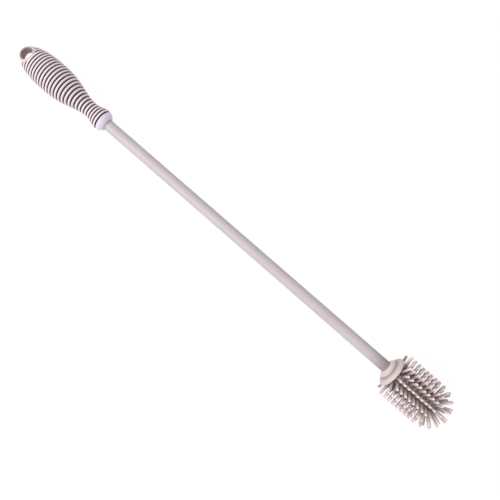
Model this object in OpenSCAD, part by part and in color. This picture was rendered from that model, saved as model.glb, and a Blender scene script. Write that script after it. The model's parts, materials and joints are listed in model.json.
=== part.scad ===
// Long bottle brush: a ribbed soft grip with a hanging hole, a slim stiff stem and a
// soft moulded head with staggered rows of round-ended tines.
// The brush is laid down as it comes to rest: the lowest tines and the belly of the
// grip touch z = 0, the head points along +X and the hanging hole opens upwards.

/* [Grip] */
// Diameter of the grip at its belly
grip_d = 26.4; // [22:0.2:32]
// Distance from the butt end to the belly
belly_x = 30.5; // [26:0.5:38]
// Fullness of the butt end, where 2 is an ellipse and more is blunter
butt_fullness = 2.2; // [2:0.05:3]
// Diameter of the grip at its neck
neck_d = 13; // [12.2:0.1:15]
// Distance from the belly to the neck
neck_reach = 41.4; // [36:0.2:48]
// Diameter of the bead in front of the neck
bead_d = 17.7; // [16:0.1:20]
// Distance from the neck to the bead
bead_reach = 11.6; // [9:0.2:16]
// Length of the rounded nose, if it ran on to a point
nose_l = 7.8; // [6:0.2:10]
// Lip of the nose around the stem
nose_lip = 0.5; // [0.3:0.1:1]

/* [Ribs] */
// Distance from one groove to the next
rib_pitch = 2.84; // [2.5:0.01:3.4]
// Depth of a groove
groove_depth = 1.2; // [0.8:0.1:1.4]
// Distance from the butt end to the first groove
first_groove_x = 10.7; // [9:0.1:13]
// How far the last groove may lie beyond the middle of the bead
groove_run_on = 2.2; // [1:0.1:3]

/* [Hanging hole] */
// Diameter of the hole
hole_d = 11.2; // [9:0.1:12]
// Distance from the butt end to the middle of the hole
hole_x = 7.7; // [7.5:0.1:9.5]
// Width of the smooth rim around the hole
rim_w = 2; // [1.5:0.1:3]
// Height of the rim above the grip
rim_rise = 0.25; // [0.1:0.05:0.5]

/* [Stem] */
// Length of stem that shows between the grip and the head
stem_free_l = 289.1; // [180:0.1:360]
// Diameter of the stem at the grip
stem_grip_d = 9; // [8:0.1:10]
// Diameter of the stem at the head
stem_head_d = 9.5; // [8:0.1:11]
// Depth that the full stem enters the grip and the collar
seat_depth = 3; // [2:0.1:3.6]
// Diameter of the plug that is held in the grip
grip_plug_d = 6; // [5:0.1:7]
// Soft material between the hanging hole and the plug in the grip
grip_cover_l = 19; // [8:1:30]
// Diameter of the plug that is held in the head
head_plug_d = 6.4; // [5:0.1:7]
// Soft material in front of the plug in the head
head_cover_l = 5.2; // [4:0.1:12]
// Height of the locking rings above the plugs
lock_rise = 0.7; // [0.4:0.1:1]
// Length of a locking ring along the plug
lock_l = 3; // [2:0.5:4]
// Locking rings on each plug
lock_count = 3; // [2:1:4]
// Gap between the stem and the soft parts around it
fit_gap = 0.05; // [0.02:0.01:0.1]

/* [Collar] */
// Diameter of the dome where the stem enters the head
dome_d = 16.6; // [15:0.1:19]
// Length of half the dome along the stem
dome_l = 3.3; // [3:0.1:5]
// How far the dome runs on past its widest point
dome_run_on = 0.8; // [0.2:0.1:1.2]
// Diameter of the flange behind the tines
flange_d = 25.9; // [22:0.1:30]
// Length of the rounded front of the flange
flange_front_l = 2.8; // [2.4:0.1:4]
// Thickness of the flat edge of the flange
flange_edge_l = 0.5; // [0.4:0.1:2]
// Depth of the crease between dome and flange
crease_depth = 0.9; // [0.5:0.1:1.2]

/* [Tines] */
// Diameter across the tips of the tines
brush_d = 39; // [34:0.5:46]
// Diameter of the core that carries the tines
core_d = 11.8; // [11.4:0.1:14]
// Diameter of a tine at the core
tine_root_d = 2.35; // [2.1:0.05:2.4]
// Diameter of a tine at its tip
tine_tip_d = 2.05; // [1.6:0.05:2.2]
// Rows of tines around the core
row_count = 18; // [14:2:18]
// Tines along a row, before the rounded end
row_tines = 9; // [6:1:12]
// Distance between the tines of a row
tine_pitch = 4.06; // [3.8:0.02:5]
// Distance from the flange to the first tines
first_tine_x = 2.8; // [1.8:0.1:4]
// Diameter of a tine on the rounded end, at the core
end_root_d = 1.85; // [1.6:0.05:1.9]
// Diameter of a tine on the rounded end, at its tip
end_tip_d = 1.75; // [1.5:0.05:1.9]
// Lean of the first ring of tines on the rounded end
end_first_lean = 9; // [9:0.5:10]
// Added lean of each further ring of tines on the rounded end
end_ring_step = 12.5; // [12:0.5:13]
// Rings of tines on the rounded end, before the last few
end_rings = 4; // [2:1:4]
// Lean of the last few tines around the tip
tip_lean = 70.5; // [66:0.5:74]
// Tines around the tip
tip_tines = 4; // [3:1:4]

/* [Hidden] */

// Fineness of the curves
turn_fn = 64;
tine_fn = 24;
groove_steps = 8;
end_steps = 12;
head_steps = 5;

// Flat share of a tine's round tip, and how deep its root sits in the core
tip_flat = 0.5;
root_sink = 0.25;

// Grip, measured from the butt end along the axis of the brush
grip_r = grip_d / 2;
neck_r = neck_d / 2;
bead_r = bead_d / 2;
neck_x = belly_x + neck_reach;
bead_x = neck_x + bead_reach;
stem_grip_r = stem_grip_d / 2;
lip_r = stem_grip_r + nose_lip;
grip_end_x = bead_x + nose_l * sqrt(1 - pow(lip_r / bead_r, 2));
groove_count = floor((bead_x + groove_run_on - first_groove_x) / rib_pitch) + 1;
ribs_from_x = first_groove_x - rib_pitch / 2;
ribs_to_x = ribs_from_x + groove_count * rib_pitch;
rim_r = hole_d / 2 + rim_w;
through_l = 2 * grip_d;

// Collar and head
stem_head_r = stem_head_d / 2;
dome_r = dome_d / 2;
flange_r = flange_d / 2;
core_r = core_d / 2;
tip_r = brush_d / 2;
head_start_x = grip_end_x + stem_free_l;
dome_centre_x = head_start_x + dome_l * sqrt(1 - pow(stem_head_r / dome_r, 2));
flange_front_x = dome_centre_x + dome_run_on;
flange_wide_x = flange_front_x + flange_front_l;
flange_back_x = flange_wide_x + flange_edge_l;
tines_x = flange_back_x + first_tine_x;
row_turn = 360 / row_count;
end_centre_x = tines_x + (row_tines - 1) * tine_pitch;
head_end_x = end_centre_x + (tip_r - end_tip_d / 2) * sin(tip_lean) + end_tip_d / 2;

// Ends of the full stem, inside the grip and inside the collar, and ends of its plugs
grip_seat_x = grip_end_x - seat_depth;
head_seat_x = head_start_x + seat_depth;
grip_plug_x = hole_x + hole_d / 2 + grip_cover_l;
head_plug_x = end_centre_x + core_r - head_cover_l;

// Rest: the floor touches the belly and the first tines of the two lowest rows
rest_r = tip_r * cos(row_turn / 2) + tine_tip_d / 2 * tip_flat * sin(row_turn / 2);
rest_tilt = atan((rest_r - grip_r) / (tines_x - belly_x));
belly_height = grip_r / cos(rest_tilt) - belly_x * sin(rest_tilt);

// Outline of the grip without its grooves, as the radius at x
function skewed(t, power) = 0.5 - 0.5 * cos(180 * pow(t, power));
function grip_outline(x) =
    x < belly_x ? grip_r * pow(max(0, 1 - pow(1 - x / belly_x, butt_fullness)), 1 / butt_fullness)
    : x < neck_x ? grip_r - (grip_r - neck_r) * skewed((x - belly_x) / neck_reach, 1.4)
    : x < bead_x ? neck_r + (bead_r - neck_r) * skewed((x - neck_x) / bead_reach, 1.2)
    : bead_r * sqrt(max(0, 1 - pow((x - bead_x) / nose_l, 2)));

// Depth of the grooves at x: narrow valleys between broad round ribs
function in_ribs(x) = x > ribs_from_x && x < ribs_to_x;
function groove_wave(x) = pow(0.5 + 0.5 * cos(360 * (x - first_groove_x) / rib_pitch), 3);
function grip_radius(x) = grip_outline(x) - (in_ribs(x) ? groove_depth * groove_wave(x) : 0);

// Stations along the grip: a round butt, even steps over the ribs, a round nose
butt_turn = acos(1 - ribs_from_x / belly_x);
nose_from = asin((ribs_to_x - bead_x) / nose_l);
nose_to = asin((grip_end_x - bead_x) / nose_l);
nose_step = (nose_to - nose_from) / end_steps;
butt_stations = [for (i = [0 : end_steps - 1]) belly_x * (1 - cos(butt_turn * i / end_steps))];
rib_stations = [for (i = [0 : groove_count * groove_steps]) ribs_from_x + i * rib_pitch / groove_steps];
nose_stations = [for (i = [1 : end_steps]) bead_x + nose_l * sin(nose_from + i * nose_step)];
grip_stations = concat(butt_stations, rib_stations, nose_stations);

// Lays the brush down on z = 0 with the middle of its length over the origin
module laid_down() {
    translate([-head_end_x / 2 * cos(rest_tilt), 0, belly_height])
        rotate([0, -rest_tilt, 0])
            children();
}

// Turns a profile of [radius, x] points around the axis of the brush
module turned(points) {
    rotate([90, 0, 90])
        rotate_extrude($fn = turn_fn)
            polygon(points);
}

// A round bar from one x to another along the axis of the brush, grown by a gap all over
module bar(from_x, to_x, d1, d2, gap) {
    translate([from_x - gap, 0, 0])
        rotate([0, 90, 0])
            cylinder(h = to_x - from_x + 2 * gap, d1 = d1 + 2 * gap, d2 = d2 + 2 * gap, $fn = turn_fn);
}

// Rings that lock a plug in the soft part around it, spread evenly from one x to another
module lock_rings(from_x, to_x, d, gap) {
    ring_d = d + 2 * lock_rise;
    for (i = [1 : lock_count]) {
        x = from_x + i * (to_x - from_x) / (lock_count + 1);
        bar(x - lock_l / 2, x + lock_l / 2, ring_d, ring_d, gap);
    }
}

// Stem with its two plugs, whose roots reach into the full stem, so that it is one piece;
// a gap above zero gives the socket that it fits
module stem_form(gap) {
    bar(grip_seat_x, head_seat_x, stem_grip_d, stem_head_d, gap);
    bar(grip_plug_x, grip_end_x, grip_plug_d, grip_plug_d, gap);
    bar(head_start_x, head_plug_x, head_plug_d, head_plug_d, gap);
    lock_rings(grip_plug_x, grip_seat_x, grip_plug_d, gap);
    lock_rings(head_seat_x, head_plug_x, head_plug_d, gap);
}

// Smooth pad around the hanging hole, standing a little above the ribs
module hole_rim() {
    pad_end_x = hole_x + rim_r + 1;
    pad_turn = acos(1 - pad_end_x / belly_x);
    pad_x = [for (i = [0 : end_steps]) belly_x * (1 - cos(pad_turn * i / end_steps))];
    pad_points = [for (x = pad_x) [grip_outline(x) + rim_rise, x]];
    intersection() {
        turned(concat(pad_points, [[0, pad_end_x], [0, 0]]));
        translate([hole_x, 0, -through_l / 2])
            cylinder(h = through_l, r = rim_r, $fn = turn_fn);
    }
}

// Soft ribbed grip with the hanging hole and the socket for the stem
module handle_grip() {
    grip_points = [for (x = grip_stations) [grip_radius(x), x]];
    color([0.90, 0.84, 0.83])
        laid_down()
            difference() {
                union() {
                    turned(concat(grip_points, [[0, grip_end_x]]));
                    hole_rim();
                }
                translate([hole_x, 0, -through_l / 2])
                    cylinder(h = through_l, d = hole_d, $fn = turn_fn);
                stem_form(fit_gap);
            }
}

// Stiff stem with its plugs
module stem() {
    color([0.78, 0.73, 0.71])
        laid_down()
            stem_form(0);
}

// Dome, crease and flange of the collar, then the core with its round end
module head_body() {
    dome_from = asin(stem_head_r / dome_r);
    dome_to = 90 + asin(dome_run_on / dome_l);
    dome_points = [for (i = [0 : head_steps])
        let (a = dome_from + (dome_to - dome_from) * i / head_steps)
        [dome_r * sin(a), dome_centre_x - dome_l * cos(a)]];
    crease_r = dome_r - crease_depth;
    flange_points = [for (i = [0 : head_steps])
        let (a = 90 * i / head_steps)
        [crease_r + (flange_r - crease_r) * sin(a), flange_wide_x - flange_front_l * cos(a)]];
    core_points = [for (i = [0 : head_steps])
        let (a = 90 * i / head_steps)
        [core_r * cos(a), end_centre_x + core_r * sin(a)]];
    flange_back = [[flange_r, flange_back_x], [core_r, flange_back_x]];
    head_start = [[0, dome_points[0][1]]];
    turned(concat(head_start, dome_points, flange_points, flange_back, core_points));
}

// One tine on the axis +Z, from just under the core's surface to its blunt round tip
module tine(root_d, tip_d) {
    end_r = tip_d / 2;
    root = [[0, core_r - root_sink], [root_d / 2, core_r - root_sink]];
    tip = [[end_r, tip_r - end_r], [end_r * tip_flat, tip_r], [0, tip_r]];
    rotate_extrude($fn = tine_fn)
        polygon(concat(root, tip));
}

// A ring of evenly spaced children around x that lean to the tip, the first one turned from the top
module ring(x, lean, count, turn) {
    for (i = [0 : count - 1])
        translate([x, 0, 0])
            rotate([turn + i * 360 / count, 0, 0])
                rotate([0, lean, 0])
                    children();
}

// All tines: straight staggered rings, then rings that lean round the end
module tines() {
    ring_tines = row_count / 2;
    even_turn = row_turn / 2;
    for (i = [0 : row_tines - 1])
        ring(tines_x + i * tine_pitch, 0, ring_tines, even_turn)
            tine(tine_root_d, tine_tip_d);
    for (i = [0 : row_tines - 2])
        ring(tines_x + (i + 0.5) * tine_pitch, 0, ring_tines, -even_turn)
            tine(tine_root_d, tine_tip_d);
    for (i = [0 : end_rings - 1]) {
        lean = end_first_lean + i * end_ring_step;
        ring(end_centre_x, lean, ring_tines, i % 2 == 0 ? -even_turn : even_turn)
            tine(end_root_d, end_tip_d);
    }
    ring(end_centre_x, tip_lean, tip_tines, 3 * even_turn)
        tine(end_root_d, end_tip_d);
}

// Soft head: collar, core and tines, with the socket for the stem
module brush_head() {
    color([0.87, 0.80, 0.78])
        laid_down()
            difference() {
                union() {
                    head_body();
                    tines();
                }
                stem_form(fit_gap);
            }
}

handle_grip();
stem();
brush_head();
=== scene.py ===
"""Dresses a long bottle brush: ribbed grip, stem, soft head with its tines, and a stage.

Everything is in metres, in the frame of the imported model: +X runs along the brush to
the tip of its head, +Z is up, and the brush lies on z = 0.
"""

import json
import math
import random

import bmesh
import bpy
from mathutils import Matrix, Vector


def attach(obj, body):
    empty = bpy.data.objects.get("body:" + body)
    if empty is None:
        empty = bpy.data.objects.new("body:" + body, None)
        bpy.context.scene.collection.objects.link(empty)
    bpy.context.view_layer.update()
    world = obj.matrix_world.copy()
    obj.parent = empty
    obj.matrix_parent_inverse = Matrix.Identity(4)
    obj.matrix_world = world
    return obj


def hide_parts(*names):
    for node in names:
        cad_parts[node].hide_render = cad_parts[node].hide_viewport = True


bl_info = {
    "name": "Bottle brush",
    "version": (1, 0, 0),
    "blender": (4, 5, 0),
    "location": "3D View > Sidebar > Brush",
    "description": "Ribbed grip, stem and soft tined head of a long bottle brush",
    "category": "Object",
}

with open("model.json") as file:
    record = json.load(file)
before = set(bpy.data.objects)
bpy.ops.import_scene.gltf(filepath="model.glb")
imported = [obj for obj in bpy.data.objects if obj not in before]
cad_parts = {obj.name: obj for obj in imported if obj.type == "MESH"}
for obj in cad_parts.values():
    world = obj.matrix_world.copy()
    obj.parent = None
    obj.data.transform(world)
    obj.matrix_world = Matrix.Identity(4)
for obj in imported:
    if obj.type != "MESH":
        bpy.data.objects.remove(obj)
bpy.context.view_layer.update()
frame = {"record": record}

HOLE = next(m for m in frame["record"]["mounts"] if m["name"] == "hang_hole")
TILT = math.atan2(-HOLE["axis"][0], HOLE["axis"][2])


# ---------------------------------------------------------------- settings


def length(name, description, default, low=0.0, high=1.0):
    """A length in metres that the sidebar shows."""
    return bpy.props.FloatProperty(
        name=name, description=description, default=default,
        min=low, max=high, precision=5, unit="LENGTH",
    )


def colour(name, description, default):
    """A linear colour that the sidebar shows."""
    return bpy.props.FloatVectorProperty(
        name=name, description=description, default=default,
        min=0.0, max=1.0, size=3, subtype="COLOR",
    )


def number(name, description, default, low, high):
    """A plain number that the sidebar shows."""
    return bpy.props.FloatProperty(
        name=name, description=description, default=default, min=low, max=high
    )


def count(name, description, default, low, high):
    """A whole number that the sidebar shows."""
    return bpy.props.IntProperty(
        name=name, description=description, default=default, min=low, max=high
    )


class GripSettings(bpy.types.PropertyGroup):
    """Sizes and colours of the soft ribbed grip."""

    belly_d: length("Belly", "Diameter of the grip at its belly", 0.0264)
    belly_x: length("Belly place", "From the butt end to the belly", 0.0305)
    fullness: number("Fullness", "Fullness of the butt end, where 2 is an ellipse", 2.2, 1.5, 4)
    butt_flat: number("Flat butt", "Share by which the butt is flattened", 0.10, 0, 0.3)
    neck_d: length("Neck", "Diameter of the grip at its neck", 0.013)
    neck_reach: length("Neck reach", "From the belly to the neck", 0.0414)
    bead_d: length("Bead", "Diameter of the bead in front of the neck", 0.0177)
    bead_reach: length("Bead reach", "From the neck to the bead", 0.0116)
    nose_l: length("Nose", "Length of the nose, if it ran on to a point", 0.0078)
    nose_lip: length("Nose lip", "Lip of the nose around the stem", 0.0005)
    rib_pitch: length("Rib pitch", "From one groove to the next", 0.00284)
    groove_depth: length("Groove depth", "Depth of a groove", 0.0018)
    first_groove_x: length("First groove", "From the butt end to the first groove", 0.0107)
    groove_count: count("Grooves", "Grooves around the grip", 27, 1, 60)
    hole_d: length("Hole", "Diameter of the hanging hole", 2 * HOLE["dims"]["r_mm"] / 1000)
    hole_x: length("Hole place", "From the butt end to the middle of the hole", 0.0077)
    rim_w: length("Rim width", "Width of the smooth rim around the hole", 0.0020)
    rim_rise: length("Rim rise", "Height of the rim above the grip", 0.00025)
    rim_round: length("Rim rounding", "Rounding of the rim into the hole", 0.0009)
    rib_colour: colour("Ribs", "Colour of the ribs", (0.865, 0.762, 0.785))
    # The flank and groove colours are painted shade in the grooves
    flank_shade_colour: colour("Flanks", "Colour halfway down a groove", (0.31, 0.18, 0.186))
    groove_shade_colour: colour("Grooves", "Colour deep in the grooves", (0.026, 0.006, 0.008))
    # Painted cool light on the nose, which faces the head
    nose_light_colour: colour("Nose", "Colour of the nose", (0.86, 0.79, 0.91))


class StemSettings(bpy.types.PropertyGroup):
    """Sizes and colours of the stiff stem."""

    free_l: length("Free length", "Stem that shows between grip and head", 0.2891)
    grip_d: length("At the grip", "Diameter at the grip", 0.009)
    head_d: length("At the head", "Diameter at the head", 0.0095)
    seat_l: length("Seat", "Depth of the full stem in its seats", 0.003)
    grip_plug_d: length("Grip plug", "Diameter of the plug in the grip", 0.006)
    grip_plug_l: length("Grip plug length", "Length of the plug in the grip", 0.054)
    head_plug_d: length("Head plug", "Diameter of the plug in the head", 0.0064)
    head_plug_l: length("Head plug length", "Length of the plug in the head", 0.040)
    lock_rise: length("Lock rise", "Height of the locking rings", 0.0007)
    lock_l: length("Lock length", "Length of a locking ring", 0.003)
    lock_count: count("Locks", "Locking rings on each plug", 3, 1, 6)
    fit_gap: length("Fit gap", "Gap between the stem and the soft parts", 0.00005)
    stem_colour: colour("Stem", "Colour of the stem", (0.60, 0.53, 0.565))
    shade_l: length("Shade length", "Length of stem that is shaded by the head", 0.022)
    shade_colour: colour("Stem shade", "Colour beside the head", (0.26, 0.21, 0.215))


class HeadSettings(bpy.types.PropertyGroup):
    """Sizes and colours of the soft head."""

    dome_d: length("Dome", "Diameter of the dome where the stem enters", 0.0166)
    dome_l: length("Dome length", "Length of half the dome", 0.0033)
    dome_run_on: length("Dome run on", "How far the dome runs past its widest point", 0.0008)
    flange_d: length("Flange", "Diameter of the flange", 0.0259)
    flange_front_l: length("Flange front", "Length of its rounded front", 0.0028)
    flange_edge_l: length("Flange edge", "Thickness of its flat edge", 0.0005)
    crease: length("Crease", "Depth of the crease between dome and flange", 0.0009)
    core_d: length("Core", "Diameter of the core", 0.0118)
    ridge_w: length("Ridge width", "Width of a parting ridge on the core", 0.0010)
    ridge_gap: length("Ridge gap", "Distance between the two ridges", 0.0012)
    ridge_h: length("Ridge height", "Height of the ridges above the core", 0.0024)
    ridge_sink: length("Ridge sink", "Depth of the ridges in the core", 0.0003)
    brush_d: length("Tine circle", "Diameter across the tips of the tines", 0.039)
    root_d: length("Tine root", "Diameter of a tine at the core", 0.00235)
    tip_d: length("Tine tip", "Diameter of a tine at its tip", 0.00205)
    end_root_d: length("End root", "Diameter of an end tine at the core", 0.0021)
    end_tip_d: length("End tip", "Diameter of an end tine at its tip", 0.0020)
    pitch: length("Tine pitch", "Distance between the tines of a row", 0.00406)
    first_x: length("First tines", "From the flange to the first tines", 0.0028)
    roll: number("Roll", "Turn of the head about the stem in degrees", -2.4, -20, 20)
    row_count: count("Rows", "Rows of tines around the core", 18, 6, 30)
    row_tines: count("Tines in a row", "Tines along a row before the end", 9, 1, 30)
    end_rings: count("End rings", "Leaning rings on the rounded end", 4, 0, 6)
    first_lean: number("First lean", "Lean of the first end ring in degrees", 8.5, 0, 20)
    ring_step: number("Lean step", "Added lean of each further ring", 12.5, 5, 20)
    tip_lean: number("Tip lean", "Lean of the last few tines", 70.5, 40, 85)
    tip_tines: count("Tip tines", "Tines around the tip", 4, 1, 8)
    head_colour: colour("Head", "Colour of the soft head", (0.92, 0.79, 0.78))
    # The deep and flank colours are painted shade between and down the tines; the collar tone is
    # painted shade over the flange
    deep_shade_colour: colour("Deep head", "Colour deep between the tines", (0.125, 0.085, 0.082))
    flank_shade_colour: colour("Tine flanks", "Colour halfway down a tine", (0.56, 0.455, 0.445))
    collar_tone: number("Collar tone", "Tone of the flange, from plain to deep", 0.31, 0, 1)


class StageSettings(bpy.types.PropertyGroup):
    """Camera, lamps and floor."""

    lens: length("Focal length", "Focal length of the camera", 0.0353)
    camera_x: number("Camera X", "Place of the camera along the brush", 0.0197, -2, 2)
    camera_y: number("Camera Y", "Place of the camera across the brush", -0.0271, -2, 2)
    camera_z: number("Camera Z", "Height of the camera", 0.400, 0.1, 3)
    turn: number("Turn", "Turn of the picture in degrees", 41.11, -180, 180)
    tilt: number("Tilt", "Tilt of the camera about the brush in degrees", 3.91, -90, 90)
    key: number("Key", "Power of the key lamp in watts", 22.0, 0, 200)
    fill: number("Fill", "Power of the fill lamp in watts", 2.1, 0, 200)
    world: number("World", "Strength of the plain surroundings", 0.44, 0, 5)


def grip():
    """The settings of the grip."""
    return bpy.context.scene.brush_grip


def stem():
    """The settings of the stem."""
    return bpy.context.scene.brush_stem


def head():
    """The settings of the head."""
    return bpy.context.scene.brush_head


# ------------------------------------------------- places along the brush
# All of them are distances from the butt end, along the brush's own axis.


def grip_end_x():
    """Face of the nose around the stem."""
    g = grip()
    lip = (stem().grip_d / 2 + g.nose_lip) / (g.bead_d / 2)
    bead_x = g.belly_x + g.neck_reach + g.bead_reach
    return bead_x + g.nose_l * math.sqrt(1 - lip * lip)


def head_start_x():
    """Where the stem enters the dome."""
    return grip_end_x() + stem().free_l


def dome_centre_x():
    """Widest point of the dome."""
    h = head()
    ratio = stem().head_d / h.dome_d
    return head_start_x() + h.dome_l * math.sqrt(1 - ratio * ratio)


def flange_front_x():
    """Crease between the dome and the flange."""
    return dome_centre_x() + head().dome_run_on


def flange_back_x():
    """Back of the flange, where the core starts."""
    return flange_front_x() + head().flange_front_l + head().flange_edge_l


def first_tines_x():
    """First tines of the head."""
    return flange_back_x() + head().first_x


def end_centre_x():
    """Centre of the round end, from which its tines fan out."""
    h = head()
    return first_tines_x() + (h.row_tines - 1) * h.pitch


def lay_matrix():
    """From the brush's own axis (+X from the butt, +Z out of the hole) to the frame."""
    g = grip()
    height = g.belly_d / 2 / math.cos(TILT) - g.belly_x * math.sin(TILT)
    hole = Vector(HOLE["pos_m"])
    along = hole.x - g.hole_x * math.cos(TILT)
    return Matrix.Translation((along, 0, height)) @ Matrix.Rotation(-TILT, 4, "Y")


# ------------------------------------------------------------ mesh helpers

# Points of a turned piece, and of a cut one, that lie closer than this are one point
MERGE_TURNED = 1e-7
MERGE_CUT = 1e-6

# Share of a side that the rounding of a corner may take
SIDE_SHARE = 0.45


def smooth_step(low, high, value):
    """0 below low, 1 above high and an even curve between them."""
    t = min(1.0, max(0.0, (value - low) / (high - low)))
    return t * t * (3 - 2 * t)


def spun(profile, steps):
    """A bmesh turned around +X from a path of (x, r) points with both ends on the axis."""
    bm = bmesh.new()
    verts = [bm.verts.new((x, 0.0, r)) for x, r in profile]
    for a, b in zip(verts, verts[1:]):
        bm.edges.new((a, b))
    bmesh.ops.spin(
        bm, geom=bm.verts[:] + bm.edges[:], cent=(0, 0, 0), axis=(1, 0, 0),
        angle=2 * math.pi, steps=steps, use_merge=True, use_duplicate=False,
    )
    bmesh.ops.remove_doubles(bm, verts=bm.verts[:], dist=MERGE_TURNED)
    bmesh.ops.recalc_face_normals(bm, faces=bm.faces[:])
    return bm


def arc(centre_x, centre_r, radius_x, radius_r, start, end, steps):
    """Points (x, r) on an ellipse from one angle to another, in degrees."""
    turns = [math.radians(start + (end - start) * i / steps) for i in range(steps + 1)]
    return [
        (centre_x + radius_x * math.cos(t), centre_r + radius_r * math.sin(t)) for t in turns
    ]


def rounded(points, radius, steps=3):
    """The same (x, r) path with every corner but its two ends rounded."""
    made = [points[0]]
    for before, corner, after in zip(points, points[1:], points[2:]):
        a, c, b = Vector(before), Vector(corner), Vector(after)
        reach = min(radius, (a - c).length * SIDE_SHARE, (b - c).length * SIDE_SHARE)
        start = c + (a - c).normalized() * reach
        end = c + (b - c).normalized() * reach
        for i in range(steps + 1):
            t = i / steps
            made.append(tuple((1 - t) ** 2 * start + 2 * t * (1 - t) * c + t * t * end))
    made.append(points[-1])
    return made


def as_mesh(bm, name):
    """A mesh from the bmesh, which is freed."""
    mesh = bpy.data.meshes.new(name)
    bm.to_mesh(mesh)
    bm.free()
    return mesh


def linked(name, data):
    """A new object in the scene."""
    made = bpy.data.objects.new(name, data)
    bpy.context.scene.collection.objects.link(made)
    return made


def finished(bm, name, slot, replaced, material, crease_deg):
    """Lays the bmesh in the frame and makes it a piece, sharp where it bends by the crease."""
    bmesh.ops.transform(bm, matrix=lay_matrix(), verts=bm.verts[:])
    for face in bm.faces:
        face.smooth = True
    mesh = as_mesh(bm, name)
    mesh.set_sharp_from_angle(angle=math.radians(crease_deg))
    mesh.materials.append(material)
    piece = linked(name, mesh)
    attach(piece, "root")
    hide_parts(replaced)
    return piece


# -------------------------------------------------------------- materials


WHITE = (1.0, 1.0, 1.0, 1.0)

# Moulded plastic: size and darkest tone of the mottle, how much coarser the wear is than
# the grain, how far it changes the roughness, and how strongly the grain shows
MOTTLE_SCALE = 55.0
MOTTLE_TONE = (0.96, 0.955, 0.96, 1.0)
WEAR_COARSER = 14
WEAR_SPREAD = 0.06
GRAIN_STRENGTH = 0.5
PLASTIC_IOR = 1.43

# Floor: its colour in light, its glow, and the share of the glow in what the camera sees of
# it; the rest is the floor in its light, with the shadow of the brush
FLOOR_COLOUR = (0.8, 0.8, 0.8, 1.0)
FLOOR_GLOW = 1.03
FLOOR_SHARE = 0.93


class Tree:
    """The nodes of a material or of the world, made one after another."""

    def __init__(self, owner):
        owner.use_nodes = True
        self.owner = owner
        self.nodes = owner.node_tree.nodes
        self.links = owner.node_tree.links
        self.nodes.clear()

    def add(self, kind, settings=None, **inputs):
        """A node with its settings, and with its inputs linked or set."""
        node = self.nodes.new(kind)
        for key, value in (settings or {}).items():
            setattr(node, key, value)
        for key, value in inputs.items():
            self.put(node.inputs[key.replace("_", " ")], value)
        return node

    def put(self, socket, value):
        """Links another socket to this one, or sets its value."""
        if isinstance(value, bpy.types.NodeSocket):
            self.links.new(value, socket)
        else:
            socket.default_value = value

    def joined(self, kind, settings, *values):
        """The result of a node whose first inputs are these."""
        node = self.add(kind, settings)
        for socket, value in zip(node.inputs, values):
            self.put(socket, value)
        return node.outputs[0]

    def mixed(self, share, first, second, blend="MIX"):
        """A colour between two colours."""
        node = self.add("ShaderNodeMix", {"data_type": "RGBA", "blend_type": blend}, Factor=share)
        self.put(node.inputs[6], first)
        self.put(node.inputs[7], second)
        return node.outputs[2]

    def ranged(self, value, low, high, to_low=0.0, to_high=1.0):
        """The value with its range from low to high brought to another range."""
        node = self.add(
            "ShaderNodeMapRange",
            Value=value, From_Min=low, From_Max=high, To_Min=to_low, To_Max=to_high,
        )
        return node.outputs["Result"]

    def background_rays(self):
        """1 for what the camera sees straight, in a gloss or through glass, otherwise 0."""
        path = self.add("ShaderNodeLightPath").outputs
        larger = {"operation": "MAXIMUM"}
        seen = self.joined("ShaderNodeMath", larger, path["Is Camera Ray"], path["Is Glossy Ray"])
        return self.joined("ShaderNodeMath", larger, seen, path["Is Transmission Ray"])


def rgba(values):
    """A colour setting as a node takes it."""
    return (*values, 1.0)


def moulded(name, base, flank, deep, attribute, roughness, grain, grain_depth, tint=None):
    """Moulded plastic: painted light and shade by depth, a faint mottle, fine grain and a satin
    surface.

    The attribute carries the painted shade: 0 at the base colour, 0.5 at the flank colour and 1
    at the deep one.
    The tint is another attribute and the colour that it brings, painted light.
    """
    t = Tree(bpy.data.materials.new(name))
    place = t.add("ShaderNodeTexCoord").outputs["Object"]
    mottle = t.add("ShaderNodeTexNoise", Vector=place, Scale=MOTTLE_SCALE, Detail=3.0)
    fine = t.add("ShaderNodeTexNoise", Vector=place, Scale=grain, Detail=2.0)
    wear = t.add("ShaderNodeTexNoise", Vector=place, Scale=grain / WEAR_COARSER, Detail=4.0)
    depth = t.add("ShaderNodeAttribute", {"attribute_name": attribute}).outputs["Fac"]
    tone = t.mixed(t.ranged(depth, 0.0, 0.5), rgba(base), rgba(flank))
    if tint:
        share = t.add("ShaderNodeAttribute", {"attribute_name": tint[0]}).outputs["Fac"]
        tone = t.mixed(share, tone, rgba(tint[1]))
    tone = t.mixed(t.ranged(depth, 0.5, 1.0), tone, rgba(deep))
    cloud = t.mixed(t.ranged(mottle.outputs["Fac"], 0.35, 0.65), MOTTLE_TONE, WHITE)
    tone = t.mixed(1.0, tone, cloud, "MULTIPLY")
    rough = t.ranged(
        wear.outputs["Fac"], 0.3, 0.7, roughness - WEAR_SPREAD, roughness + WEAR_SPREAD
    )
    bump = t.add(
        "ShaderNodeBump",
        Height=fine.outputs["Fac"], Strength=GRAIN_STRENGTH, Distance=grain_depth,
    )
    shader = t.add(
        "ShaderNodeBsdfPrincipled",
        Base_Color=tone, Roughness=rough, Normal=bump.outputs["Normal"], IOR=PLASTIC_IOR,
    )
    t.add("ShaderNodeOutputMaterial", Surface=shader.outputs["BSDF"])
    return t.owner


def stage_white(name):
    """Floor that is white to the camera and still keeps the shadow of the object."""
    t = Tree(bpy.data.materials.new(name))
    product = {"operation": "MULTIPLY"}
    share = t.joined("ShaderNodeMath", product, t.background_rays(), FLOOR_SHARE)
    diffuse = t.add("ShaderNodeBsdfDiffuse", Color=FLOOR_COLOUR).outputs[0]
    glow = t.add("ShaderNodeEmission", Color=WHITE, Strength=FLOOR_GLOW).outputs[0]
    floor = t.joined("ShaderNodeMixShader", None, share, diffuse, glow)
    t.add("ShaderNodeOutputMaterial", Surface=floor)
    return t.owner


# ------------------------------------------------------------------- grip

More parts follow.
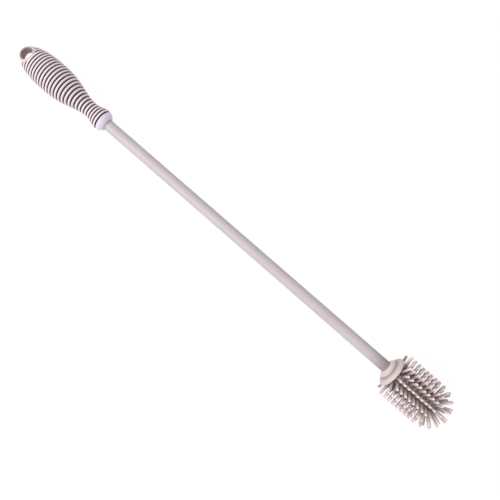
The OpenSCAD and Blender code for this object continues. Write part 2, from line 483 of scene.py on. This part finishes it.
# Steps around the grip, and along its butt, one of its ribs and its nose
GRIP_STEPS = 144
BUTT_STEPS = 44
RIB_STEPS = 12
NOSE_STEPS = 16

# Skew of the curves to the neck and to the bead, and narrowness of the grooves
NECK_SKEW = 1.4
BEAD_SKEW = 1.2
GROOVE_NARROWNESS = 3.2

# Share of a groove's depth at which its painted shade starts, and at which the painted shade is
# darkest
DARK_FROM = 0.22
DARK_TO = 0.5

# Length over which the painted cool light on the nose sets in, and bevel at the mouth of a socket
NOSE_FADE = 0.0012
MOUTH_BEVEL = 0.0001

# Rim of the hole: steps around it, over its face, around its edge and down to the middle,
# the width over which it sinks into the grip, and its tones: a slight darkening on the face and
# painted shade in the hole
RIM_STEPS = 120
FACE_STEPS = 7
BEND_STEPS = 6
WALL_STEPS = 8
WALL_FADE_STEPS = 3
RIM_FALL = 0.0007
RIM_TONE = 0.14
BORE_TONE = 0.38

# The bore is cut a little wider than the hole, because the rim makes its wall
BORE_WIDER = 0.0006
BORE_L = 0.06
BORE_SIDES = 96


def skewed(share, power):
    """A curve from 0 to 1 that starts more slowly where the power is above 1."""
    return 0.5 - 0.5 * math.cos(math.pi * share**power)


def grip_outline(x):
    """Radius of the grip at x without its grooves."""
    g = grip()
    belly_r, neck_r, bead_r = g.belly_d / 2, g.neck_d / 2, g.bead_d / 2
    neck_x = g.belly_x + g.neck_reach
    bead_x = neck_x + g.bead_reach
    if x < g.belly_x:
        return belly_r * max(0.0, 1 - (1 - x / g.belly_x) ** g.fullness) ** (1 / g.fullness)
    if x < neck_x:
        return belly_r - (belly_r - neck_r) * skewed((x - g.belly_x) / g.neck_reach, NECK_SKEW)
    if x < bead_x:
        return neck_r + (bead_r - neck_r) * skewed((x - neck_x) / g.bead_reach, BEAD_SKEW)
    return bead_r * math.sqrt(max(0.0, 1 - ((x - bead_x) / g.nose_l) ** 2))


def ribs_span():
    """Where the ribs start and end."""
    g = grip()
    start = g.first_groove_x - g.rib_pitch / 2
    return start, start + g.groove_count * g.rib_pitch


def groove_share(x):
    """1 at the bottom of a groove, 0 on top of a rib."""
    g = grip()
    start, end = ribs_span()
    if not start < x < end:
        return 0.0
    wave = 0.5 + 0.5 * math.cos(2 * math.pi * (x - g.first_groove_x) / g.rib_pitch)
    return wave**GROOVE_NARROWNESS


def lock_rings(start, end, plug_r, gap=0.0):
    """The locking rings of a plug from start to end, grown by a gap, as (x, r) points."""
    s = stem()
    half = math.copysign(s.lock_l / 2 + gap, end - start)
    ring_r = plug_r + s.lock_rise
    points = []
    for i in range(1, s.lock_count + 1):
        x = start + i * (end - start) / (s.lock_count + 1)
        points += [(x - half, plug_r), (x - half, ring_r), (x + half, ring_r), (x + half, plug_r)]
    return points


def socket_points(sign, mouth_x, full_d, plug_d, plug_l):
    """The hole for one end of the stem, from its mouth to its closed end, as (x, r).

    The sign is 1 for a socket that runs to +X from its mouth and -1 for one to -X.
    """
    gap, seat_x = stem().fit_gap, mouth_x + sign * stem().seat_l
    full_r, plug_r = full_d / 2 + gap, plug_d / 2 + gap
    face_x, end_x = seat_x + sign * gap, seat_x + sign * (plug_l + gap)
    rings = lock_rings(seat_x, seat_x + sign * plug_l, plug_r, gap)
    mouth = [(mouth_x, full_r), (face_x, full_r), (face_x, plug_r)]
    return mouth + rings + [(end_x, plug_r), (end_x, 0.0)]


def grip_profile():
    """Outer face of the grip from the butt to the nose, then the socket in it."""
    g, s = grip(), stem()
    start, end = ribs_span()
    belly_turn = math.acos(1 - start / g.belly_x)
    butt = [g.belly_x * (1 - math.cos(belly_turn * i / BUTT_STEPS)) for i in range(BUTT_STEPS)]
    ribs = [start + i * g.rib_pitch / RIB_STEPS for i in range(g.groove_count * RIB_STEPS + 1)]
    bead_x = g.belly_x + g.neck_reach + g.bead_reach
    turn_a = math.asin((end - bead_x) / g.nose_l)
    turn_b = math.asin((grip_end_x() - bead_x) / g.nose_l)
    turns = [turn_a + (turn_b - turn_a) * i / NOSE_STEPS for i in range(1, NOSE_STEPS + 1)]
    nose = [bead_x + g.nose_l * math.sin(turn) for turn in turns]
    outer = [(x, grip_outline(x) - g.groove_depth * groove_share(x)) for x in butt + ribs + nose]
    outer[0] = (0.0, 0.0)
    socket = socket_points(-1, grip_end_x(), s.grip_d, s.grip_plug_d, s.grip_plug_l)
    mouth_x, mouth_r = socket[0]
    return outer + [(mouth_x - MOUTH_BEVEL, mouth_r + MOUTH_BEVEL)] + socket


def flatness(x):
    """Share of the height that is left at x: the butt is a little flattened."""
    g = grip()
    return 1 - g.butt_flat * (1 - smooth_step(g.hole_x + g.hole_d / 2, g.belly_x, x))


def rim_height(away, turn):
    """Height of the rim above the middle of the grip, so far from the hole's axis."""
    g = grip()
    hole_r, rim_r = g.hole_d / 2, g.hole_d / 2 + g.rim_w
    x, y = g.hole_x + away * math.cos(turn), away * math.sin(turn)
    fall = smooth_step(rim_r - RIM_FALL, rim_r, away)
    lifted = grip_outline(x) + g.rim_rise * (1 - 2 * fall)
    into = min(1.0, max(0.0, (hole_r + g.rim_round - away) / g.rim_round))
    height = flatness(x) * math.sqrt(max(0.0, lifted**2 - y * y))
    return height - g.rim_round * (1 - math.sqrt(1 - into * into))


def make_rim():
    """The smooth rim around the hanging hole on both sides, and the wall of the hole."""
    g = grip()
    hole_r, rim_r = g.hole_d / 2, g.hole_d / 2 + g.rim_w
    bm = bmesh.new()
    groove = bm.verts.layers.float.new("groove")
    flat = [rim_r - (g.rim_w - g.rim_round) * i / FACE_STEPS for i in range(FACE_STEPS + 1)]
    turns = [math.radians(90 * i / BEND_STEPS) for i in range(1, BEND_STEPS + 1)]
    bend = [hole_r + g.rim_round * (1 - math.sin(turn)) for turn in turns]
    loops = []
    for turn in [2 * math.pi * i / RIM_STEPS for i in range(RIM_STEPS)]:
        x, y = math.cos(turn), math.sin(turn)
        face = [(away, rim_height(away, turn), RIM_TONE) for away in flat + bend]
        edge, wall = face[-1][1], []
        # Painted shade on the wall of the hole, fading in below the rim
        for i in range(1, WALL_STEPS):
            tone = max(RIM_TONE, BORE_TONE * min(1.0, i / WALL_FADE_STEPS))
            wall.append((hole_r, edge * (1 - i / WALL_STEPS), tone))
        upper = face + wall
        lower = [(away, -height, tone) for away, height, tone in reversed(upper)]
        rows = upper + [(hole_r, 0.0, BORE_TONE)] + lower
        loop = []
        for away, height, tone in rows:
            vert = bm.verts.new((g.hole_x + away * x, away * y, height))
            vert[groove] = tone
            loop.append(vert)
        loops.append([bm.edges.new(pair) for pair in zip(loop, loop[1:] + loop[:1])])
    for one, other in zip(loops, loops[1:] + loops[:1]):
        bmesh.ops.bridge_loops(bm, edges=one + other)
    bmesh.ops.recalc_face_normals(bm, faces=bm.faces[:])
    return bm


def cut_hole(bm):
    """A bmesh of the grip with a straight round bore cut through it for the hole."""
    g = grip()
    bore_r = g.hole_d / 2 + BORE_WIDER
    cutter = bmesh.new()
    bmesh.ops.create_cone(
        cutter, cap_ends=True, segments=BORE_SIDES, radius1=bore_r, radius2=bore_r,
        depth=BORE_L, matrix=Matrix.Translation((g.hole_x, 0, 0)),
    )
    uncut = linked("grip_uncut", as_mesh(bm, "grip_uncut"))
    tool = linked("hole_cutter", as_mesh(cutter, "hole_cutter"))
    cut = uncut.modifiers.new("hole", "BOOLEAN")
    cut.operation, cut.solver, cut.object = "DIFFERENCE", "EXACT", tool
    ready = uncut.evaluated_get(bpy.context.evaluated_depsgraph_get())
    made = bmesh.new()
    made.from_mesh(ready.to_mesh())
    ready.to_mesh_clear()
    bmesh.ops.remove_doubles(made, verts=made.verts[:], dist=MERGE_CUT)
    for thing in (uncut, tool):
        mesh = thing.data
        bpy.data.objects.remove(thing)
        bpy.data.meshes.remove(mesh)
    return made


class BRUSH_OT_grip(bpy.types.Operator):
    """Make the soft ribbed grip with its hanging hole"""

    bl_idname = "brush.grip"
    bl_label = "Make grip"

    def execute(self, context):
        g = grip()
        bm = spun(grip_profile(), GRIP_STEPS)
        groove = bm.verts.layers.float.new("groove")
        nose = bm.verts.layers.float.new("nose")
        ribs_end = ribs_span()[1]
        for v in bm.verts:
            # Painted shade deep in the grooves
            v[groove] = smooth_step(DARK_FROM, DARK_TO, groove_share(v.co.x))
            # Painted cool light on the nose
            v[nose] = smooth_step(ribs_end - NOSE_FADE, ribs_end, v.co.x)
            v.co.z *= flatness(v.co.x)
        finish_and_painted_light = moulded(
            "soft_grip_finish_and_painted_light", g.rib_colour, g.flank_shade_colour, g.groove_shade_colour, "groove",
            roughness=0.52, grain=4200.0, grain_depth=0.000004, tint=("nose", g.nose_light_colour),
        )
        own = "grip_silicone", "handle_grip", finish_and_painted_light
        finished(cut_hole(bm), "grip_sleeve", *own, crease_deg=50)
        finished(make_rim(), "hole_rim", *own, crease_deg=60)
        return {"FINISHED"}


# ------------------------------------------------------------------- stem

# Steps around the stem, and rounding of its edges
STEM_STEPS = 72
STEM_ROUND = 0.0003

# Points along the free stem, close together near both ends: first share, step and number
STEM_POINTS = ((0.0, 0.001, 16), (0.02, 0.03, 31), (0.925, 0.003, 26))

# Shade on the stem: how deep it is and how far it goes, at the head and at the grip
HEAD_SHADE = 0.5
HEAD_SHADE_FROM = -0.006
GRIP_SHADE = 0.3
GRIP_SHADE_L = 0.003


class BRUSH_OT_stem(bpy.types.Operator):
    """Make the stiff stem with the plugs that hold it in the grip and in the head"""

    bl_idname = "brush.stem"
    bl_label = "Make stem"

    def execute(self, context):
        s = stem()
        bm = spun(rounded(self.profile(), STEM_ROUND), STEM_STEPS)
        shade = bm.verts.layers.float.new("shade")
        for v in bm.verts:
            from_grip, to_head = v.co.x - grip_end_x(), head_start_x() - v.co.x
            near_head = 1 - smooth_step(HEAD_SHADE_FROM, s.shade_l, to_head)
            near_grip = 1 - smooth_step(0.0, GRIP_SHADE_L, from_grip)
            v[shade] = max(HEAD_SHADE * near_head, GRIP_SHADE * near_grip)
        finish_and_painted_light = moulded(
            "stiff_stem_finish_and_painted_shade", s.stem_colour, s.shade_colour, s.shade_colour, "shade",
            roughness=0.40, grain=3600.0, grain_depth=0.000003,
        )
        finished(bm, "stem_rod", "stem_plastic", "stem", finish_and_painted_light, crease_deg=40)
        return {"FINISHED"}

    def profile(self):
        """The stem from the end of one plug to the end of the other, as (x, r) points."""
        s = stem()
        grip_seat, head_seat = grip_end_x() - s.seat_l, head_start_x() + s.seat_l
        shares = [first + step * i for first, step, points in STEM_POINTS for i in range(points)]
        wider = s.head_d - s.grip_d
        points = self.plug(grip_seat, -s.grip_plug_l, s.grip_plug_d / 2)[::-1]
        points.append((grip_seat, s.grip_d / 2))
        for share in shares:
            points.append((grip_end_x() + s.free_l * share, (s.grip_d + wider * share) / 2))
        points.append((head_seat, s.head_d / 2))
        return points + self.plug(head_seat, s.head_plug_l, s.head_plug_d / 2)

    def plug(self, seat, reach, plug_r):
        """A plug from its seat to its far end, as (x, r) points."""
        end = seat + reach
        return [(seat, plug_r), *lock_rings(seat, end, plug_r), (end, plug_r), (end, 0.0)]


# ------------------------------------------------------------------- head

# Steps around the core, and along its dome, flange, edge, foot, shaft and round end
CORE_STEPS = 112
DOME_STEPS = 18
FLANGE_STEPS = 14
EDGE_STEPS = 3
FOOT_STEPS = 4
SHAFT_STEPS = 24
END_STEPS = 12

# Rounding of the flange's back edge, and of the foot of the core behind the flange
EDGE_ROUND = 0.0003
FOOT_ROUND = 0.0008

# Painted shade: tones of the dome, of the crease over the collar's own, and of the core, and
# where they fade
DOME_TONE = 0.13
DOME_DEEPER = 0.42
DOME_FADE = 0.0005
CREASE_DEEPER = 0.25
CREASE_W = 0.0009
CORE_TONE = 0.85
BACK_PALER = 0.6
BACK_FADE_FROM = -0.00005
BACK_FADE_TO = 0.0002

# Slight waves of the flange: how many there are around it, their shift and their height
FLANGE_WAVES = ((3, 0.6, 0.00010), (7, 0.0, 0.00006))
WAVES_END = 0.0001

# Ridges: their sides, the steps around the round end, their start in the flange, their tone, a
# slight painted shade
RIDGE_SIDES = 6
RIDGE_TURN = 10
RIDGE_TURNS = 9
RIDGE_START = 0.0003
RIDGE_TONE = 0.12

# Tines: their sides, the round of the tip, their depth in the core, and how far they lean
# at random to each side, in degrees
TINE_SIDES = 12
TIP_ROUND = 0.42
TIP_STEPS = 3
ROOT_SINK = 0.0005
TINE_SWAY = 1.1
SWAY_SEED = 7

# Painted shade on the tines: deepest at the root, on the underside, and below the pale cap, which
# is left as a painted highlight
ROOT_TONE = 0.9
ROOT_CURVE = 1.5
UNDER_TONE = 0.62
UNDER_FROM = -0.1
UNDER_TO = 0.35
SHAFT_TONE = 0.2
CAP_FROM = 0.0009
CAP_TO = 0.0003

# The painted shade of a root reaches this share of the way to the tip, and further on the shaded
# side and on the round end, which set in between these shares of their direction
ROOT_REACH = 0.67
REACH_MORE = 0.27
SHADED_FROM = 0.4
SHADED_TO = 0.8
END_FROM = 0.1
END_TO = 0.5


def head_profile():
    """Outer face of the head from the dome to its round end, after the socket in it."""
    h, s = head(), stem()
    dome_r, flange_r, core_r = h.dome_d / 2, h.flange_d / 2, h.core_d / 2
    first = 180 - math.degrees(math.asin(s.head_d / h.dome_d))
    last = 90 - math.degrees(math.asin(h.dome_run_on / h.dome_l))
    dome = arc(dome_centre_x(), 0, h.dome_l, dome_r, first, last, DOME_STEPS)
    crease_r = dome_r - h.crease
    wide_x = flange_front_x() + h.flange_front_l
    flange = arc(
        wide_x, crease_r, h.flange_front_l, flange_r - crease_r, 180, 90, FLANGE_STEPS
    )
    back_x, end_x = flange_back_x(), end_centre_x()
    edge = arc(
        back_x - EDGE_ROUND, flange_r - EDGE_ROUND, EDGE_ROUND, EDGE_ROUND, 90, 0, EDGE_STEPS
    )
    foot_x = back_x + FOOT_ROUND
    foot = arc(foot_x, core_r + FOOT_ROUND, FOOT_ROUND, FOOT_ROUND, 180, 270, FOOT_STEPS)
    shaft = [
        (foot_x + (end_x - foot_x) * i / SHAFT_STEPS, core_r) for i in range(1, SHAFT_STEPS)
    ]
    tip = arc(end_x, 0, core_r, core_r, 90, 0, END_STEPS)
    socket = socket_points(1, head_start_x(), s.head_d, s.head_plug_d, s.head_plug_l)
    socket[0] = (dome[0][0] + MOUTH_BEVEL, socket[0][1])
    return socket[::-1] + dome + flange + edge + foot + shaft + tip


def core_tone(x, r):
    """Painted shade on the core: pale on the dome, deeper in the crease, deepest between the
    tines.
    """
    h = head()
    front_x, back_x = flange_front_x(), flange_back_x()
    if x > back_x + BACK_FADE_TO:
        return CORE_TONE
    if x > back_x + BACK_FADE_FROM:
        return CORE_TONE - BACK_PALER * smooth_step(h.core_d / 2, h.flange_d / 2, r)
    if x < front_x:
        return DOME_TONE + DOME_DEEPER * smooth_step(head_start_x() - DOME_FADE, front_x, x)
    return h.collar_tone + CREASE_DEEPER * (1 - smooth_step(0.0, CREASE_W, x - front_x))


def tine_tone(place, root_r, tip_r):
    """Painted light and shade of a tine at a place: deep at the root and below, a pale painted
    highlight on the cap of the tip.
    """
    centre = end_centre_x()
    r = (place - Vector((min(place.x, centre), 0, 0))).length
    under = smooth_step(UNDER_FROM, UNDER_TO, -place.z / tip_r)
    cap = smooth_step(tip_r - CAP_FROM, tip_r - CAP_TO, r)
    shaded = smooth_step(SHADED_FROM, SHADED_TO, place.y / r)
    end = smooth_step(END_FROM, END_TO, (place.x - centre) / r)
    reach = tip_r * (ROOT_REACH + REACH_MORE * max(shaded, end))
    root = ROOT_TONE * (1 - smooth_step(root_r, reach, r)) ** ROOT_CURVE
    return max(UNDER_TONE * under, root, SHAFT_TONE * (1 - cap))


def head_kind():
    """Slot, node and material of the soft head, with painted light and shade; its pieces share
    one material, made once.
    """
    h = head()
    finish_and_painted_light = bpy.data.materials.get("soft_head_finish_and_painted_light") or moulded(
        "soft_head_finish_and_painted_light", h.head_colour, h.flank_shade_colour, h.deep_shade_colour, "depth",
        roughness=0.45, grain=4200.0, grain_depth=0.000004,
    )
    return "head_silicone", "brush_head", finish_and_painted_light


class BRUSH_OT_core(bpy.types.Operator):
    """Make the dome, the flange and the core of the head"""

    bl_idname = "brush.core"
    bl_label = "Make core"

    def execute(self, context):
        bm = spun(head_profile(), CORE_STEPS)
        depth = bm.verts.layers.float.new("depth")
        for v in bm.verts:
            r = math.hypot(v.co.y, v.co.z)
            # Painted shade on the dome, the crease, the flange and the core
            v[depth] = core_tone(v.co.x, r)
            if r > head().core_d / 2 and v.co.x < flange_back_x() + WAVES_END:
                self.wave(v, r)
        finished(bm, "head_core", *head_kind(), crease_deg=55)
        self.make_ridges()
        return {"FINISHED"}

    def wave(self, v, r):
        """Moves a point of the flange in or out with its slight waves."""
        h = head()
        turn = math.atan2(v.co.y, v.co.z)
        swell = sum(high * math.sin(waves * turn + shift) for waves, shift, high in FLANGE_WAVES)
        share = smooth_step(h.dome_d / 2, h.flange_d / 2, r) * swell / r
        v.co.y *= 1 + share
        v.co.z *= 1 + share

    def make_ridges(self):
        """Thin double parting ridges along the top and the bottom of the core."""
        h = head()
        bm = bmesh.new()
        across = Matrix.Rotation(math.pi / 2, 4, "Y")
        path = self.ridge_path()
        for turn in (h.roll, h.roll + 180):
            for side in (1, -1):
                base = Matrix.Rotation(math.radians(turn), 4, "X")
                base = base @ Matrix.Translation((0, side * h.ridge_gap / 2, 0))
                loops = []
                for place in path:
                    made = bmesh.ops.create_circle(
                        bm, segments=RIDGE_SIDES, radius=h.ridge_w / 2,
                        matrix=base @ place @ across,
                    )
                    edges = [e for v in made["verts"] for e in v.link_edges]
                    loops.append(list(dict.fromkeys(edges)))
                for one, other in zip(loops, loops[1:]):
                    bmesh.ops.bridge_loops(bm, edges=one + other)
                bmesh.ops.holes_fill(bm, edges=loops[0] + loops[-1], sides=RIDGE_SIDES)
        bmesh.ops.recalc_face_normals(bm, faces=bm.faces[:])
        depth = bm.verts.layers.float.new("depth")
        for v in bm.verts:
            v[depth] = RIDGE_TONE
        finished(bm, "parting_ridges", *head_kind(), crease_deg=60)

    def ridge_path(self):
        """Where the section of a ridge on +Z stands, along the core and around its end."""
        h = head()
        section_h = h.ridge_w * math.cos(math.pi / RIDGE_SIDES)
        tall = Matrix.Scale((h.ridge_h + h.ridge_sink) / section_h, 4, (0, 0, 1))
        out = Matrix.Translation((0, 0, (h.core_d + h.ridge_h - h.ridge_sink) / 2)) @ tall
        path = [Matrix.Translation((flange_back_x() - RIDGE_START, 0, 0)) @ out]
        for i in range(RIDGE_TURNS):
            bend = Matrix.Rotation(math.radians(RIDGE_TURN * i), 4, "Y")
            path.append(Matrix.Translation((end_centre_x(), 0, 0)) @ bend @ out)
        return path


def tine_template(root_d, tip_d, tip_r, root_r):
    """One tine on +Z from inside the core to its round tip, as a small mesh."""
    middle = (tip_r + root_r) / 2
    bm = bmesh.new()
    bmesh.ops.create_cone(
        bm, cap_ends=True, segments=TINE_SIDES, radius1=root_d / 2, radius2=tip_d / 2,
        depth=tip_r - root_r, matrix=Matrix.Translation((0, 0, middle)),
    )
    rim = [e for e in bm.edges if all(v.co.z > middle for v in e.verts)]
    bmesh.ops.bevel(
        bm, geom=rim, offset=tip_d * TIP_ROUND, offset_type="OFFSET", segments=TIP_STEPS,
        profile=0.5, affect="EDGES", material=-1, clamp_overlap=True,
    )
    return as_mesh(bm, "tine_template")


class BRUSH_OT_tines(bpy.types.Operator):
    """Make all the round-ended tines of the head"""

    bl_idname = "brush.tines"
    bl_label = "Make tines"

    def execute(self, context):
        h = head()
        draw = random.Random(SWAY_SEED)
        root_r, tip_r = h.core_d / 2 - ROOT_SINK, h.brush_d / 2
        straight = tine_template(h.root_d, h.tip_d, tip_r, root_r)
        leaning = tine_template(h.end_root_d, h.end_tip_d, tip_r, root_r)
        foot = Matrix.Translation((0, 0, root_r))
        bm = bmesh.new()
        for x, lean, turn in self.places():
            old = len(bm.verts)
            bm.from_mesh(leaning if lean else straight)
            bm.verts.ensure_lookup_table()
            sway_y = Matrix.Rotation(math.radians(draw.uniform(-TINE_SWAY, TINE_SWAY)), 4, "X")
            sway_x = Matrix.Rotation(math.radians(draw.uniform(-TINE_SWAY, TINE_SWAY)), 4, "Y")
            place = (
                Matrix.Translation((x, 0, 0))
                @ Matrix.Rotation(math.radians(turn), 4, "X")
                @ Matrix.Rotation(math.radians(lean), 4, "Y")
                @ foot @ sway_y @ sway_x @ foot.inverted()
            )
            bmesh.ops.transform(bm, matrix=place, verts=bm.verts[old:])
        for template in (straight, leaning):
            bpy.data.meshes.remove(template)
        depth = bm.verts.layers.float.new("depth")
        for v in bm.verts:
            # Painted shade down the tines and a pale painted highlight on their caps
            v[depth] = tine_tone(v.co, root_r, tip_r)
        finished(bm, "head_tines", *head_kind(), crease_deg=65)
        return {"FINISHED"}

    def places(self):
        """Place along the axis, lean to the tip and turn around the core of each tine.

        Half the rows start with the first tines, the others half a step on, between them.
        """
        h = head()
        around, half = h.row_count // 2, 180 / h.row_count
        rings = [(first_tines_x() + i * h.pitch, 0, around, half) for i in range(h.row_tines)]
        rings += [
            (first_tines_x() + (i + 0.5) * h.pitch, 0, around, -half)
            for i in range(h.row_tines - 1)
        ]
        rings += [
            (end_centre_x(), h.first_lean + i * h.ring_step, around, half if i % 2 else -half)
            for i in range(h.end_rings)
        ]
        rings.append((end_centre_x(), h.tip_lean, h.tip_tines, 3 * half))
        for x, lean, number_of, turn in rings:
            for i in range(number_of):
                yield x, lean, h.roll + turn + i * 360 / number_of


# ------------------------------------------------------------------ stage

# Width of the camera's sensor, and half the side of the floor
SENSOR_MM = 36
FLOOR_HALF = 6.0

# Lamps: their places, the sides of their square faces, and their tints
KEY_PLACE = (-0.60, -0.95, 1.22)
KEY_SIZE = 1.4
KEY_TINT = (1.0, 1.0, 1.0)
FILL_PLACE = (-0.35, 0.60, 0.80)
FILL_SIZE = 0.9
FILL_TINT = (0.90, 0.94, 1.0)


class BRUSH_OT_stage(bpy.types.Operator):
    """Make the floor, the lamps, the surroundings and the camera"""

    bl_idname = "brush.stage"
    bl_label = "Make stage"

    def execute(self, context):
        s = context.scene.brush_stage
        self.make_floor()
        self.make_world(s.world)
        self.make_lamp("key_lamp", s.key, KEY_SIZE, KEY_PLACE, KEY_TINT)
        self.make_lamp("fill_lamp", s.fill, FILL_SIZE, FILL_PLACE, FILL_TINT)
        self.make_camera(s)
        context.scene.view_settings.view_transform = "Standard"
        return {"FINISHED"}

    def make_floor(self):
        """A wide floor at z = 0."""
        bm = bmesh.new()
        bmesh.ops.create_grid(bm, x_segments=1, y_segments=1, size=FLOOR_HALF)
        mesh = as_mesh(bm, "floor")
        mesh.materials.append(stage_white("floor_white"))
        linked("floor", mesh)

    def make_world(self, strength):
        """Even light on the brush, and plain white behind it."""
        t = Tree(bpy.data.worlds.new("surroundings"))
        bpy.context.scene.world = t.owner
        soft = t.add("ShaderNodeBackground", Color=WHITE, Strength=strength).outputs[0]
        white = t.add("ShaderNodeBackground", Color=WHITE).outputs[0]
        mix = t.joined("ShaderNodeMixShader", None, t.background_rays(), soft, white)
        t.add("ShaderNodeOutputWorld", Surface=mix)

    def make_lamp(self, name, power, size, place, tint):
        """A square lamp that points at the origin."""
        light = bpy.data.lights.new(name, "AREA")
        light.energy, light.size, light.color = power, size, tint
        lamp = linked(name, light)
        lamp.location = place
        lamp.rotation_euler = (-Vector(place)).to_track_quat("-Z", "Y").to_euler()

    def make_camera(self, s):
        """The camera above the brush, from the settings of the stage."""
        lens = bpy.data.cameras.new("camera")
        lens.lens = s.lens * 1000  # in millimetres
        lens.sensor_width = SENSOR_MM
        camera = linked("camera", lens)
        camera.location = (s.camera_x, s.camera_y, s.camera_z)
        tilt = Matrix.Rotation(math.radians(s.tilt), 4, "X")
        camera.rotation_euler = (tilt @ Matrix.Rotation(math.radians(s.turn), 4, "Z")).to_euler()
        bpy.context.scene.camera = camera


# ------------------------------------------------------------- add-on parts


class BRUSH_PT_sidebar(bpy.types.Panel):
    """Buttons and sizes of the bottle brush"""

    bl_idname = "BRUSH_PT_sidebar"
    bl_label = "Bottle brush"
    bl_space_type = "VIEW_3D"
    bl_region_type = "UI"
    bl_category = "Brush"

    def draw(self, context):
        for operator in OPERATORS:
            self.layout.operator(operator.bl_idname)
        for name, settings in SETTINGS.items():
            box = self.layout.box()
            for key in settings.__annotations__:
                box.prop(getattr(context.scene, name), key)


OPERATORS = (BRUSH_OT_stage, BRUSH_OT_grip, BRUSH_OT_stem, BRUSH_OT_core, BRUSH_OT_tines)
SETTINGS = {
    "brush_grip": GripSettings,
    "brush_stem": StemSettings,
    "brush_head": HeadSettings,
    "brush_stage": StageSettings,
}


def register():
    for made in (*SETTINGS.values(), *OPERATORS, BRUSH_PT_sidebar):
        bpy.utils.register_class(made)
    for name, settings in SETTINGS.items():
        setattr(bpy.types.Scene, name, bpy.props.PointerProperty(type=settings))


def unregister():
    for name in SETTINGS:
        delattr(bpy.types.Scene, name)
    for made in (BRUSH_PT_sidebar, *reversed(OPERATORS), *reversed(SETTINGS.values())):
        bpy.utils.unregister_class(made)


def main():
    register()
    bpy.ops.brush.stage()
    bpy.ops.brush.grip()
    bpy.ops.brush.stem()
    bpy.ops.brush.core()
    bpy.ops.brush.tines()


if __name__ == "__main__":
    main()
